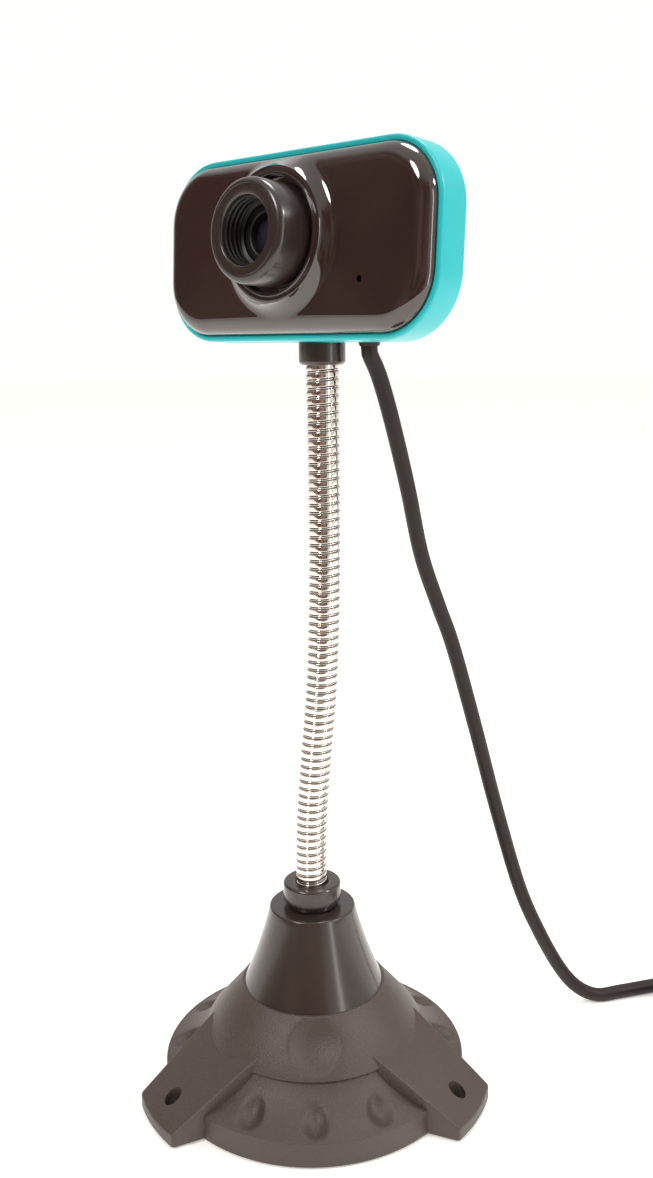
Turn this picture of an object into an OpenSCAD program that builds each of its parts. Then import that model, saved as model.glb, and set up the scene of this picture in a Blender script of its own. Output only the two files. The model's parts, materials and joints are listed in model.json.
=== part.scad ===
// Desk webcam on a gooseneck: a lens head on a bendable metal neck, standing on a
// three-eared conical foot, with its USB cord run out to a neat coil.
// Millimetres. Origin: middle of the foot on the desk, +Z up, the lens looks along -Y.

/* [Foot] */
// Radius of the round foot at the desk
foot_r = 42.2; // [38:0.1:48]
// Height of the foot's upright rim
rim_h = 7.5; // [6:0.1:10]
// Reach of the three screw ears from the middle
ear_reach = 50.4; // [49:0.1:60]
// Width of a screw ear at its tip
ear_w = 21; // [18:0.1:26]
// How much wider an ear is where it leaves the cone
ear_flare = 5.8; // [0:0.1:8]
// Radius of the screw holes in the ears
ear_hole_r = 2.3; // [1.5:0.1:3]
// Distance of the screw holes from the middle
ear_hole_pitch_r = 44.2; // [42:0.1:48]
// Radius where the middle cone meets the foot
seam_r = 30.3; // [26:0.1:34]
// Height of that seam
seam_z = 16.7; // [14:0.1:20]
// Radius where the glossy cone meets the middle cone
cone_r = 19.5; // [17:0.1:23]
// Height of that joint
cone_z = 29.3; // [26:0.1:33]
// Radius of the glossy cone's flat top
top_r = 11.8; // [11:0.1:14]
// Height of the glossy cone's flat top
top_z = 52.1; // [50:0.1:56]
// Turn of the foot about +Z, from the lens direction
foot_turn = 43.5; // [0:0.5:90]

/* [Neck] */
// Outer radius of the wound metal neck
neck_r = 4.25; // [4.1:0.01:4.4]
// Radius of the round knuckle at the top of each neck link
knuckle_r = 4.0; // [3.6:0.05:4.0]
// Clear space between a knuckle and the cup that turns on it
knuckle_gap = 0.3; // [0.2:0.05:0.35]
// Room below a knuckle's middle for the cup's rim to swing into
cup_room = 1.4; // [1.2:0.1:2]

/* [Head] */
// Width of the coloured frame
head_w = 89.4; // [80:0.1:100]
// Height of the coloured frame
head_h = 44.9; // [40:0.1:50]
// Depth of the coloured frame
frame_d = 8.4; // [7:0.1:12]
// Radius of the frame's corners
head_corner_r = 15.6; // [12:0.1:18]
// Width of the frame's rim round the fascia
rim_w = 1.5; // [1:0.1:3]
// Upward tilt of the head
head_tilt = 3.7; // [0:0.1:10]
// How far the fascia swells in front of the frame
dome_h = 4.3; // [3:0.1:6]
// How far the rear shell swells behind the frame
back_h = 14.2; // [10:0.1:18]
// Wall of the shells
wall = 1.8; // [1.5:0.1:2.5]

/* [Lens] */
// Outer radius of the focus ring
ring_r = 12.2; // [11:0.1:12.6]
// How far the focus ring's face stands in front of the frame
ring_reach = 15.5; // [12:0.1:16]
// Radius of the opening in the focus ring
mouth_r = 7.9; // [7.4:0.1:8.5]
// Radius of the threaded lens barrel
barrel_r = 5.97; // [5.9:0.01:6]
// Radial play of a running fit
play = 0.05; // [0.03:0.01:0.1]

/* [Cord] */
// Diameter of the USB cord
cord_d = 4.2; // [3.6:0.1:4.3]
// Middle radius of the stored coil
coil_r = 22; // [20:0.5:26]

/* [Hidden] */
$fn = 64;
fine = 96;
hull_fn = 28;
tiny = 0.02;

// ---- foot
pad_t = 0.5;
shell_t = 2.2;
ear_tip_z = 3.8;
ear_start = 24;
ear_pad_r = 2.4;
ear_pad_out = 6.2;
ear_angles = [60, 180, 300];
sector_angles = [0, 120, 240];
dent_spread = 27;
dent_r = 5;
dent_mid_r = 36.8;
thumb_r = 12;
thumb_sink = 1.9;
cavity_r = 38.5;
plate_t = 1.6;
plate_r = 38.2;
ballast_r = 33;
ballast_t = 6;
post_r = 3;
post_pitch_r = 35.4;
base_screw_r = 1.3;
collar_r = 8;
collar_z = 53.9;
collar_h = 5.2;
collar_tail_r = 5.8;
nut_t = 3.8;
nut_af_r = 8.6;
ring_land = 1.6;

// ---- neck, as the pivots of its links from the bottom up
neck_foot_z = 40;
neck_pivots = [[0, 0, 71], [1, 1, 92.5], [2.4, 2.3, 114], [3.1, 3, 135.5], [3.4, 3.2, 157], [3.4, 3.2, 178.5]];
neck_top = [3.4, 3.2, 199.6];
links = len(neck_pivots);

// ---- head
head_at = [3.4, 3.2, 227.7];
frame_front = -9.5;
frame_back = frame_front + frame_d;
lens_at = [-1.6, 2];
ring_front = -frame_front + ring_reach;
boss_front = ring_front - 8.7;
boss_in_r = 13.7;
boss_lip_r = 15.7;
boss_base_r = 17;
web_front = 13.2;
web_back = 11.6;
board_t = 1.6;
board_w = 58;
board_h = 30;
mic_at = [24.5, -9];
mic_r = 3;
mic_hole_r = 0.8;
case_screw_at = [for (x = [-35.5, 35.5], z = [-13, 13]) [x, z]];
board_screw_at = [for (x = [-26, 26], z = [-11.5, 11.5]) [x, z]];
head_collar_r = 5.9;
stud_r = 3;
exit_at = [15, 8, 204.4];
exit_r = 3.1;
grommet_l = 10;
grommet_nose = 2;

// ---- cord: its run from the head down to the desk and away to the coil
cord_route = [
    [15, 8, 204.2], [15, 8.1, 202.6], [15.2, 9.9, 199.6], [15.6, 12, 195], [16, 15.8, 185], [16.2, 21.8, 168],
    [16.2, 27.9, 149], [17.5, 34, 134], [19, 39, 121.5], [21.5, 46.5, 97], [24, 54.5, 70], [27.5, 62.5, 43],
    [31, 68.5, 27], [35, 75, 13], [39, 79.5, 5.6], [43.5, 84.5, 2.15], [48, 91, 2.15], [54, 100.7, 2.15],
    [59.4, 109.2, 2.15], [62.9, 114.5, 2.15]
];
coil_at = [88.3, 98.6];
coil_half_w = 6.3;
coil_h = 8.3;
lift = 0.05;
view_away = [-sin(foot_turn), cos(foot_turn), 0];
tail_start = [coil_at[0] + coil_r + coil_half_w + cord_d / 2 - 0.3, coil_at[1], 4];
tail_route = [for (s = [0, 6, 12, 18]) tail_start - [0, s, 0]];
plug_at = tail_route[3];
plug_turn = -90;
plug_relief = 9;
plug_l = 22;
plug_w = 16;
plug_t = 8;
usb_w = 12;
usb_t = 4.5;
usb_l = 14;
usb_wall = 0.35;

// ---- helpers
function mix3(a, b, c, d, t) = 0.5 * (2 * b + (c - a) * t + (2 * a - 5 * b + 4 * c - d) * t * t
    + (3 * b - a - 3 * c + d) * t * t * t);

function smooth_path(p, n) = let (last = len(p) - 1) [
    for (i = [0:last - 1]) for (k = [0:n - 1])
        mix3(p[max(i - 1, 0)], p[i], p[i + 1], p[min(i + 2, last)], k / n),
    p[last]];

function unit(v) = v / norm(v);

// A straight-sided tube of eight sides swept along a path; across is never parallel to the path.
module swept_tube(path, r, across, sides = 8) {
    last = len(path) - 1;
    ring = [for (i = [0:last]) let (
            t = unit(path[min(i + 1, last)] - path[max(i - 1, 0)]),
            u = unit(cross(t, across)),
            v = cross(t, u))
        for (k = [0:sides - 1]) path[i] + r * (cos(360 * k / sides) * u + sin(360 * k / sides) * v)];
    walls = [for (i = [0:last - 1], k = [0:sides - 1]) let (n = (k + 1) % sides)
        [i * sides + k, i * sides + n, (i + 1) * sides + n, (i + 1) * sides + k]];
    caps = [[for (k = [sides - 1:-1:0]) k], [for (k = [0:sides - 1]) last * sides + k]];
    polyhedron(points = ring, faces = concat(caps, walls));
}

// Children drawn along +Z are laid from point a towards point b.
module from_to(a, b) {
    v = b - a;
    translate(a) rotate([0, acos(v[2] / norm(v)), atan2(v[1], v[0])]) children();
}

// Foot parts are drawn with their front along -Y, then turned.
module foot_frame() { rotate([0, 0, foot_turn]) children(); }

// Points on an arc bowed away from the straight line a-b by sag.
function bowed(a, b, sag, n = 10) = let (d = b - a, m = [d[1], -d[0]] / norm(d))
    [for (i = [0:n]) a + d * i / n + m * sag * 4 * (i / n) * (1 - i / n)];

// Head parts are drawn about the head's middle, upright, then tilted back.
module head_frame() { translate(head_at) rotate([-head_tilt, 0, 0]) children(); }

// Lens parts are drawn along +Z, with z = 0 at the board's face, then laid along the lens axis.
module lens_frame() { head_frame() translate([lens_at[0], 0, lens_at[1]]) rotate([90, 0, 0]) children(); }

module round_rect(w, h, r) {
    for (x = [-1, 1], y = [-1, 1]) translate([x * (w / 2 - r), y * (h / 2 - r)]) circle(r = r, $fn = fine);
    square([w - 2 * r, h], center = true);
    square([w, h - 2 * r], center = true);
}

// A slab of a rounded rectangle lying in the XZ plane, from y0 to y1.
module slab(w, h, r, y0, y1) {
    translate([0, y1, 0]) rotate([90, 0, 0]) linear_extrude(y1 - y0) round_rect(w, h, r);
}

// The four corners of a rounded rectangle at depth y, for a hull to join.
module corner_discs(w, h, r, y) {
    for (x = [-1, 1], z = [-1, 1]) translate([x * (w / 2 - r), y + tiny, z * (h / 2 - r)])
        rotate([90, 0, 0]) cylinder(r = r, h = tiny, $fn = hull_fn);
}

module pan_screw(shank_r, shank_l, head_r, head_l) {
    translate([0, 0, -tiny]) cylinder(r = shank_r, h = shank_l + tiny);
    difference() {
        translate([0, 0, -head_l - tiny]) cylinder(r = head_r, h = head_l);
        for (a = [0, 90]) rotate([0, 0, a]) translate([-head_r * 0.6, -head_r * 0.12, -head_l - 2 * tiny])
            cube([head_r * 1.2, head_r * 0.24, head_l * 0.5]);
    }
}

// ---- foot
function ring_top() = bowed([seam_r - ring_land, seam_z], [foot_r, rim_h], 1.5);

module ear_slab() {
    root_half = (ear_w + ear_flare) / 2;
    intersection() {
        rotate([90, 0, 0]) translate([0, 0, -root_half - 1]) linear_extrude(2 * root_half + 2)
            polygon([[ear_start, pad_t], [ear_reach + 2, pad_t],
                [ear_reach + 2, ear_tip_z - (seam_z - ear_tip_z) * 2 / (ear_reach - seam_r)],
                [seam_r, seam_z], [ear_start, seam_z]]);
        linear_extrude(30) polygon([[ear_start, -root_half], [ear_reach, -ear_w / 2], [ear_reach + 2, -ear_w / 2],
            [ear_reach + 2, ear_w / 2], [ear_reach, ear_w / 2], [ear_start, root_half]]);
    }
}

module foot_ring() {
    color([0.17, 0.15, 0.15]) foot_frame() difference() {
        union() {
            rotate_extrude($fn = fine) polygon(concat([[seam_r - ring_land, pad_t], [seam_r - ring_land, seam_z]],
                ring_top(), [[foot_r, pad_t]]));
            intersection() {
                for (a = ear_angles) rotate([0, 0, a - 90]) ear_slab();
                cylinder(r = ear_reach, h = 30, $fn = fine);
            }
        }
        // hollow under the foot, shell_t below its top
        rotate_extrude($fn = fine) polygon([[0, pad_t - 1], [cavity_r, pad_t - 1], [cavity_r, 8.4 - shell_t],
            [35, 10.5 - shell_t], [31.5, 13.4 - shell_t], [seam_r - ring_land, 16.2 - shell_t],
            [0, 16.2 - shell_t]]);
        // way up into the middle cone
        cylinder(r = seam_r - ring_land, h = 30, $fn = fine);
        for (a = ear_angles) rotate([0, 0, a - 90]) translate([ear_hole_pitch_r, 0, -1])
            cylinder(r = ear_hole_r, h = 30);
        for (s = sector_angles, d = [-1, 0, 1]) rotate([0, 0, s + d * dent_spread - 90]) finger_dent();
    }
    color([0.17, 0.15, 0.15]) foot_frame() for (s = sector_angles) rotate([0, 0, s - 90])
        translate([post_pitch_r, 0, pad_t + plate_t + 0.4]) difference() {
            cylinder(r = post_r, h = 7);
            translate([0, 0, -1]) cylinder(r = base_screw_r, h = 6);
        }
}

// A shallow oval dent: a ball-ended scoop lying down the slope.
module finger_dent() {
    slope = atan2(seam_z - rim_h, foot_r - seam_r);
    translate([dent_mid_r + 2.2, 0, 15.4]) rotate([0, slope, 0]) for (x = [-2.2, 2.2])
        translate([x, 0, 0]) sphere(r = dent_r);
}

module middle_cone() {
    inner = shell_t / cos(45);
    color([0.17, 0.15, 0.15]) foot_frame() difference() {
        rotate_extrude($fn = fine) polygon(concat(
            bowed([seam_r, seam_z + tiny], [cone_r + 0.6, cone_z], 0.7),
            [[cone_r - 2.6, cone_z], [cone_r - 2.6, cone_z - 2.4],
             [seam_r - inner, seam_z + tiny]]));
        for (s = sector_angles) rotate([0, 0, s - 90]) translate([23.6, 0, 21.9]) rotate([0, 48, 0])
            translate([0, 0, thumb_r + 3.1 - thumb_sink]) sphere(r = thumb_r);
    }
}

module gloss_cone() {
    color([0.1, 0.09, 0.09]) rotate_extrude($fn = fine) polygon(concat(
        [[collar_tail_r + 0.1, top_z], [top_r, top_z]],
        bowed([top_r, top_z], [cone_r, cone_z + tiny], 0.5),
        [[cone_r - 2.2, cone_z + tiny], [top_r - 1.4, top_z - 2.2], [collar_tail_r + 0.1, top_z - 2.2]]));
}

module ballast_disc() {
    color("dimgray") difference() {
        translate([0, 0, pad_t + plate_t + 0.4]) cylinder(r = ballast_r - 1.5, h = ballast_t, $fn = fine);
        cylinder(r = 9, h = 20);
        foot_frame() for (s = sector_angles) rotate([0, 0, s - 90]) translate([post_pitch_r, 0, -1])
            cylinder(r = post_r + 0.4, h = 20);
    }
}

module bottom_plate() {
    color([0.12, 0.12, 0.12]) foot_frame() difference() {
        translate([0, 0, pad_t]) cylinder(r = plate_r, h = plate_t, $fn = fine);
        for (s = sector_angles) rotate([0, 0, s - 90]) translate([post_pitch_r, 0, -1])
            cylinder(r = base_screw_r + 0.3, h = 6);
    }
}

module non_slip_pad() {
    color([0.2, 0.2, 0.2]) difference() {
        cylinder(r = 31.5, h = pad_t, $fn = fine);
        translate([0, 0, -1]) cylinder(r = 24, h = 3, $fn = fine);
    }
    color([0.2, 0.2, 0.2]) foot_frame() for (a = ear_angles, side = [-1, 1]) rotate([0, 0, a - 90])
        translate([ear_hole_pitch_r, side * ear_pad_out, 0]) cylinder(r = ear_pad_r, h = pad_t);
}

module base_screws() {
    color("silver") foot_frame() for (s = sector_angles) rotate([0, 0, s - 90])
        translate([post_pitch_r, 0, pad_t]) pan_screw(base_screw_r - 0.02, 5.5, 2.4, 0.45);
}

module base_collar() {
    color([0.1, 0.09, 0.09]) difference() {
        union() {
            translate([0, 0, collar_z]) cylinder(r = collar_r, h = collar_h - 0.5);
            translate([0, 0, collar_z + collar_h - 0.5]) cylinder(r1 = collar_r, r2 = collar_r - 0.5, h = 0.5);
            translate([0, 0, top_z]) cylinder(r = collar_r - 1.1, h = collar_z - top_z + tiny);
            translate([0, 0, top_z - 8]) cylinder(r = collar_tail_r, h = 8 + tiny);
        }
        translate([0, 0, top_z - 9]) cylinder(r = neck_r + tiny, h = 20);
    }
}

module collar_nut() {
    color("silver") translate([0, 0, top_z - 2.25 - nut_t]) difference() {
        cylinder(r = nut_af_r, h = nut_t, $fn = 6);
        translate([0, 0, -1]) cylinder(r = collar_tail_r + tiny, h = nut_t + 2);
    }
}

// ---- neck: each link's cup turns on the knuckle of the link below, the axes lying along X and Y by turns
module knuckle(i, r) {
    translate(neck_pivots[i]) rotate(i % 2 == 0 ? [0, 90, 0] : [90, 0, 0]) cylinder(r = r, h = 20, center = true);
}

module neck_link(i) {
    low = i == 0 ? [0, 0, neck_foot_z] : neck_pivots[i - 1];
    high = i == links ? neck_top : neck_pivots[i];
    length = norm(high - low);
    color("silver") difference() {
        union() {
            from_to(low, high) cylinder(r = neck_r, h = i == links ? length : length - cup_room);
            if (i < links) intersection() {
                knuckle(i, knuckle_r);
                from_to(low, high) cylinder(r = neck_r, h = length + 2 * knuckle_r);
            }
        }
        if (i > 0) knuckle(i - 1, knuckle_r + knuckle_gap);
    }
}

module neck_link_0() { neck_link(0); }
module neck_link_1() { neck_link(1); }
module neck_link_2() { neck_link(2); }
module neck_link_3() { neck_link(3); }
module neck_link_4() { neck_link(4); }
module neck_link_5() { neck_link(5); }
module neck_link_6() { neck_link(6); }

module swivel_stud() {
    color("silver") translate(neck_top) cylinder(r = stud_r, h = 13.4);
}

module swivel_nut() {
    color("silver") translate(neck_top + [0, 0, 10.4]) difference() {
        cylinder(r = 5.2, h = 2.4, $fn = 6);
        translate([0, 0, -1]) cylinder(r = stud_r + tiny, h = 5);
    }
}

module head_collar() {
    color([0.1, 0.09, 0.09]) translate(neck_top + [0, 0, 0.3]) difference() {
        union() {
            cylinder(r1 = head_collar_r - 0.7, r2 = head_collar_r, h = 0.7);
            translate([0, 0, 0.7]) cylinder(r = head_collar_r, h = 9.1);
        }
        translate([0, 0, -1]) cylinder(r = stud_r + play, h = 20);
    }
}

// ---- head shells
fascia_w = head_w - 2 * rim_w;
fascia_h = head_h - 2 * rim_w;
fascia_corner = head_corner_r - rim_w;

module dome(inset) {
    hull() {
        corner_discs(fascia_w - 2 * inset, fascia_h - 2 * inset, fascia_corner - inset, frame_front + inset * 0.6);
        corner_discs(fascia_w - 4 - 2 * inset, fascia_h - 4 - 2 * inset, fascia_corner - 2 - inset,
            frame_front - dome_h * 0.55 + inset);
        corner_discs(fascia_w - 16, fascia_h - 14, 7, frame_front - dome_h * 0.88 + inset);
        corner_discs(fascia_w - 44, fascia_h - 26, 4, frame_front - dome_h + inset);
    }
}

module front_fascia() {
    color([0.09, 0.08, 0.08]) difference() {
        union() {
            head_frame() difference() {
                union() {
                    dome(0);
                    slab(fascia_w - 0.2, fascia_h - 0.2, fascia_corner, frame_front, -5.2);
                }
                dome(wall);
                slab(fascia_w - 2 * wall, fascia_h - 2 * wall, fascia_corner - wall, frame_front, 0);
            }
            lens_frame() {
                translate([0, 0, web_back]) cylinder(r = boss_base_r, h = boss_front - 1 - web_back, $fn = fine);
                translate([0, 0, boss_front - 1.4 - tiny])
                    cylinder(r1 = boss_base_r - 0.3, r2 = boss_lip_r, h = 1.4 + tiny, $fn = fine);
            }
            head_frame() for (p = case_screw_at) translate([p[0], -5.2, p[1]]) rotate([90, 0, 0])
                cylinder(r = 2.7, h = 5.2);
        }
        lens_frame() {
            translate([0, 0, web_front]) cylinder(r = boss_in_r, h = 20, $fn = fine);
            translate([0, 0, -1]) cylinder(r = ring_r + play, h = 30, $fn = fine);
            translate([0, 0, -1]) cylinder(r = 14.4, h = web_back + 1, $fn = fine);
        }
        head_frame() {
            for (p = case_screw_at) translate([p[0], -4, p[1]]) rotate([90, 0, 0]) cylinder(r = 0.95, h = 5);
            translate([mic_at[0], 0, mic_at[1]]) rotate([90, 0, 0]) cylinder(r = mic_hole_r, h = 30);
        }
    }
}

module coloured_frame() {
    color([0.1, 0.76, 0.78]) head_frame() difference() {
        slab(head_w, head_h, head_corner_r, frame_front - 0.3, frame_back);
        slab(fascia_w, fascia_h, fascia_corner, frame_front - 2, frame_back + 1);
        rotate([head_tilt, 0, 0]) translate(neck_top - head_at) cylinder(r = head_collar_r + tiny, h = 20);
    }
}

module back_form(inset) {
    hull() {
        corner_discs(head_w - 2.4 - 2 * inset, head_h - 2.4 - 2 * inset, 14 - inset, frame_back + tiny);
        corner_discs(head_w - 11 - 2 * inset, head_h - 8 - 2 * inset, 13 - inset, frame_back + back_h * 0.42 - inset);
        corner_discs(head_w - 24 - 2 * inset, head_h - 15 - 2 * inset, 11 - inset, frame_back + back_h * 0.82 - inset);
        corner_discs(head_w - 40 - 2 * inset, head_h - 24 - 2 * inset, 8 - inset, frame_back + back_h - inset);
    }
}

module rear_shell() {
    color([0.09, 0.08, 0.08]) difference() {
        head_frame() union() {
            difference() {
                union() {
                    back_form(0);
                    slab(fascia_w - 0.2, fascia_h - 0.2, fascia_corner, -5, frame_back + tiny);
                }
                back_form(wall);
                slab(fascia_w - 2 * wall, fascia_h - 2 * wall, fascia_corner - wall, -6, frame_back + 0.2);
            }
            intersection() {
                back_form(0);
                for (p = case_screw_at) translate([p[0], 8, p[1]]) rotate([90, 0, 0]) cylinder(r = 2.9, h = 10);
            }
        }
        head_frame() for (p = case_screw_at) translate([p[0], 20, p[1]]) rotate([90, 0, 0]) {
            cylinder(r = 1.3, h = 30);
            cylinder(r = 2.2, h = 16.5);
        }
        translate([neck_top[0], neck_top[1], 190]) cylinder(r = head_collar_r + tiny, h = 30);
        translate([exit_at[0], exit_at[1], 195]) cylinder(r = exit_r + tiny, h = 30);
        translate([exit_at[0], exit_at[1], exit_at[2] + grommet_l - 1.2 - tiny]) cylinder(r = exit_r + 0.8 + tiny, h = 12);
    }
}

module case_screws() {
    color("silver") head_frame() for (p = case_screw_at) translate([p[0], 3.5, p[1]]) rotate([90, 0, 0])
        pan_screw(0.93, 11.5, 2, 1.2);
}

// ---- electronics and lens
module main_board() {
    color([0.05, 0.35, 0.15]) head_frame() difference() {
        translate([-board_w / 2, 0, -board_h / 2 + 2]) cube([board_w, board_t, board_h]);
        for (p = board_screw_at) translate([p[0], -1, p[1] + 2]) rotate([-90, 0, 0]) cylinder(r = 1.1, h = 5);
    }
}

module board_screws() {
    color("silver") head_frame() for (p = board_screw_at) translate([p[0], -tiny, p[1] + 2]) rotate([-90, 0, 0])
        pan_screw(1, 3.4, 1.8, 1);
}

module image_sensor() {
    color([0.2, 0.2, 0.22]) lens_frame() translate([-4, -4, tiny]) cube([8, 8, 1.2]);
}

module lens_holder() {
    color([0.12, 0.12, 0.12]) lens_frame() difference() {
        union() {
            translate([-7.5, -7.5, tiny]) cube([15, 15, 4]);
            cylinder(r = 8, h = 10.6);
        }
        translate([-5, -5, -1]) cube([10, 10, 3.6]);
        translate([0, 0, -1]) cylinder(r = barrel_r + play, h = 20);
    }
}

module infrared_filter() {
    color([0.5, 0.2, 0.25, 0.6]) lens_frame() translate([-4, -4, 1.7]) cube([8, 8, 0.5]);
}

module lens_barrel() {
    color([0.07, 0.07, 0.07]) lens_frame() difference() {
        union() {
            translate([0, 0, 4.6]) cylinder(r = barrel_r, h = 8.6);
            translate([0, 0, 13.1]) cylinder(r = 6.9, h = 4.7);
            for (a = [0, 180]) rotate([0, 0, a]) translate([5, -1.1, 13.1]) cube([3, 2.2, 3]);
        }
        translate([0, 0, 4]) cylinder(r = 3.6, h = 20);
        translate([0, 0, 15.4]) cylinder(r = 5, h = 20);
        translate([0, 0, 4]) cylinder(r = 4.4, h = 2.4);
    }
}

module front_lens() {
    color([0.3, 0.4, 0.6, 0.5]) lens_frame() translate([0, 0, 15.42]) intersection() {
        cylinder(r = 4.96, h = 3);
        translate([0, 0, -5.6]) sphere(r = 7.4, $fn = fine);
    }
}

module rear_lens() {
    color([0.3, 0.4, 0.6, 0.5]) lens_frame() translate([0, 0, 4.7]) cylinder(r = 4.36, h = 1.6);
}

module focus_ring() {
    color([0.09, 0.08, 0.08]) lens_frame() difference() {
        union() {
            translate([0, 0, 10.2]) cylinder(r = 13.9, h = 1.1, $fn = fine);
            translate([0, 0, 10.2]) cylinder(r = ring_r, h = ring_front - 10.2 - 1.6, $fn = fine);
            translate([0, 0, ring_front - 1.6 - tiny])
                cylinder(r1 = ring_r, r2 = ring_r - 1.5, h = 1.6 + tiny, $fn = fine);
        }
        translate([0, 0, 9]) cylinder(r = 8.6, h = 4);
        translate([0, 0, 9]) cylinder(r = 6.9 + play, h = 20);
        translate([0, 0, 18.4]) cylinder(r1 = 6.9 + play, r2 = mouth_r, h = ring_front - 18.4 + tiny, $fn = fine);
        for (z = [19.4, 20.8, 22.2]) translate([0, 0, z]) cylinder(r = mouth_r, h = 0.7);
        for (a = [0, 180]) rotate([0, 0, a]) translate([4, -1.25, 9]) cube([4.3, 2.5, 8.2]);
    }
}

module microphone() {
    color("silver") head_frame() translate([mic_at[0], -8.3, mic_at[1]]) rotate([90, 0, 0])
        cylinder(r = mic_r, h = 2.2);
}

module microphone_seal() {
    color([0.15, 0.15, 0.15]) head_frame() translate([mic_at[0], -8.3, mic_at[1]]) rotate([90, 0, 0])
        difference() {
            cylinder(r = mic_r + 0.8, h = 2.2);
            translate([0, 0, -1]) cylinder(r = mic_r + tiny, h = 5);
        }
}

module cord_grommet() {
    color([0.12, 0.11, 0.11]) translate(exit_at) {
        cylinder(r1 = cord_d / 2 + 0.35, r2 = exit_r, h = grommet_nose);
        translate([0, 0, grommet_nose - tiny]) cylinder(r = exit_r, h = grommet_l - grommet_nose);
        translate([0, 0, grommet_l - 1.2]) cylinder(r = exit_r + 0.8, h = 1.2);
    }
}

// ---- cord
module usb_cord() {
    color([0.12, 0.11, 0.11]) swept_tube(smooth_path(cord_route, 3), cord_d / 2, view_away);
}

module coil_section(grow) {
    translate([coil_r - coil_half_w - grow, lift - grow]) square([2 * coil_half_w + 2 * grow, coil_h + 2 * grow]);
}

module cord_coil() {
    color([0.12, 0.11, 0.11]) translate([coil_at[0], coil_at[1], 0]) rotate_extrude($fn = fine) coil_section(0);
}

module cord_tie() {
    color([0.2, 0.2, 0.2]) translate([coil_at[0], coil_at[1], 0]) rotate([0, 0, foot_turn - 120]) difference() {
        translate([coil_r - coil_half_w - 0.8, -3, 0]) cube([2 * coil_half_w + 1.6, 6, coil_h + 0.9]);
        rotate_extrude($fn = fine) translate([coil_r - coil_half_w - 0.05, -1])
            square([2 * coil_half_w + 0.1, coil_h + 1.1]);
    }
}

module cord_tail() {
    color([0.12, 0.11, 0.11]) swept_tube(tail_route, cord_d / 2, [0, 0, 1]);
}

// Plug parts are drawn along +X from the cord's end.
module plug_frame() { translate(plug_at) rotate([0, 0, plug_turn]) children(); }

module usb_plug_body() {
    color([0.12, 0.11, 0.11]) plug_frame() difference() {
        union() {
            rotate([0, 90, 0]) cylinder(r1 = cord_d / 2 + 0.5, r2 = 3.4, h = plug_relief);
            translate([plug_relief - tiny, -plug_w / 2, -4 + lift]) cube([plug_l, plug_w, plug_t - lift]);
        }
        translate([plug_relief + plug_l - 6, -usb_w / 2, -usb_t / 2]) cube([10, usb_w, usb_t]);
    }
}

module usb_plug_shell() {
    color("silver") plug_frame() translate([plug_relief + plug_l - 6, 0, 0]) difference() {
        translate([0, -usb_w / 2 + tiny, -usb_t / 2 + tiny]) cube([6 + usb_l, usb_w - 2 * tiny, usb_t - 2 * tiny]);
        translate([2, -usb_w / 2 + usb_wall, -usb_t / 2 + usb_wall])
            cube([6 + usb_l, usb_w - 2 * usb_wall, usb_t - 2 * usb_wall]);
    }
}

module usb_plug_tongue() {
    color("white") plug_frame() translate([plug_relief + plug_l - 3.9, -usb_w / 2 + 0.4, -usb_t / 2 + 0.4])
        cube([usb_l + 3, usb_w - 0.8, 1.8]);
}

foot_ring();
middle_cone();
gloss_cone();
ballast_disc();
bottom_plate();
non_slip_pad();
base_screws();
base_collar();
collar_nut();
neck_link_0();
neck_link_1();
neck_link_2();
neck_link_3();
neck_link_4();
neck_link_5();
neck_link_6();
swivel_stud();
swivel_nut();
head_collar();
front_fascia();
coloured_frame();
rear_shell();
case_screws();
main_board();
board_screws();
image_sensor();
lens_holder();
infrared_filter();
lens_barrel();
front_lens();
rear_lens();
focus_ring();
microphone();
microphone_seal();
cord_grommet();
usb_cord();
cord_coil();
cord_tie();
cord_tail();
usb_plug_body();
usb_plug_shell();
usb_plug_tongue();
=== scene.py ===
"""Looks of the gooseneck webcam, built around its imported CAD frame. Metres, in the CAD's own frame."""
import json
import math

import bmesh
import bpy
import numpy as np
from mathutils import Matrix, Vector


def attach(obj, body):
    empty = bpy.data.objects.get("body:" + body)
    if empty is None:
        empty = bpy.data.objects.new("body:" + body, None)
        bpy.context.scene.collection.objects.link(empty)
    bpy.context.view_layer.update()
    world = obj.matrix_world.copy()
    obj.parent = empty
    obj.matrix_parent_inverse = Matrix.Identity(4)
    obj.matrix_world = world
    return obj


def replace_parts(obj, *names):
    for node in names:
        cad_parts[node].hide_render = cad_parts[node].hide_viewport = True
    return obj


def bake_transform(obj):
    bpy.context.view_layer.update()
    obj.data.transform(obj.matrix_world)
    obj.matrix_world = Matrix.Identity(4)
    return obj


MM = 0.001

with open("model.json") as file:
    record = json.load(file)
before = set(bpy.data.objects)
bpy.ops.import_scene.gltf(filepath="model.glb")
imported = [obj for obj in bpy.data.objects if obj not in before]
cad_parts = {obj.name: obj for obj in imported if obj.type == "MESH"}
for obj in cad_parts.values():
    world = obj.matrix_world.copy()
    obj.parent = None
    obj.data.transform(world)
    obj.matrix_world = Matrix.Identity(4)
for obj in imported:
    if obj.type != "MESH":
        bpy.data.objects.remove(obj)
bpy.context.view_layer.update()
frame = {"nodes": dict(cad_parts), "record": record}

# ---------------------------------------------------------------- camera
VIEW_TURN = math.radians(43.5)  # the camera stands this far round from the lens direction
CAMERA_AWAY = 298.2 * MM
CAMERA_UP = 206.3 * MM
CAMERA_DOWN = math.radians(12.2)
CAMERA_YAW = math.radians(0.97)
CAMERA_ROLL = math.radians(-0.71)
CAMERA_LENS = 35.36  # mm on a 36 mm long side


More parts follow.
